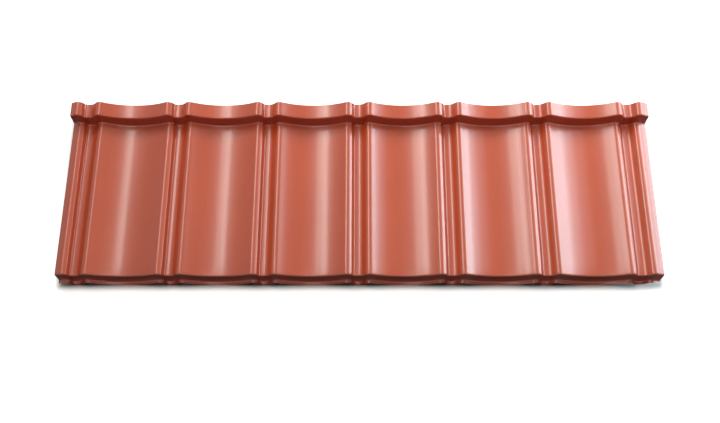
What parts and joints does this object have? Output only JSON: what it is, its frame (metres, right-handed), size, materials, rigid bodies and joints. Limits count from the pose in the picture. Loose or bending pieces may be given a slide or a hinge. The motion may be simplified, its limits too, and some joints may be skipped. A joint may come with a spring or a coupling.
{
  "type": "tile effect metal roofing sheet",
  "caption": "Thin pressed steel roofing sheet with wide concave pans, narrow twin-crested ribs and a stepped tile course.",
  "frame": {"origin": "centre of the footprint, on the floor plane that the pans rest on", "axes": "+X across the waves, +Y up the roof slope towards the head lap, +Z out of the roof"},
  "size_m": [1.1764, 0.3704, 0.0489],
  "materials": {
    "painted_steel": "satin brick red coil coating"
  },
  "bodies": {
    "root": {"roofing_sheet": "painted_steel"}
  },
  "joints": []
}
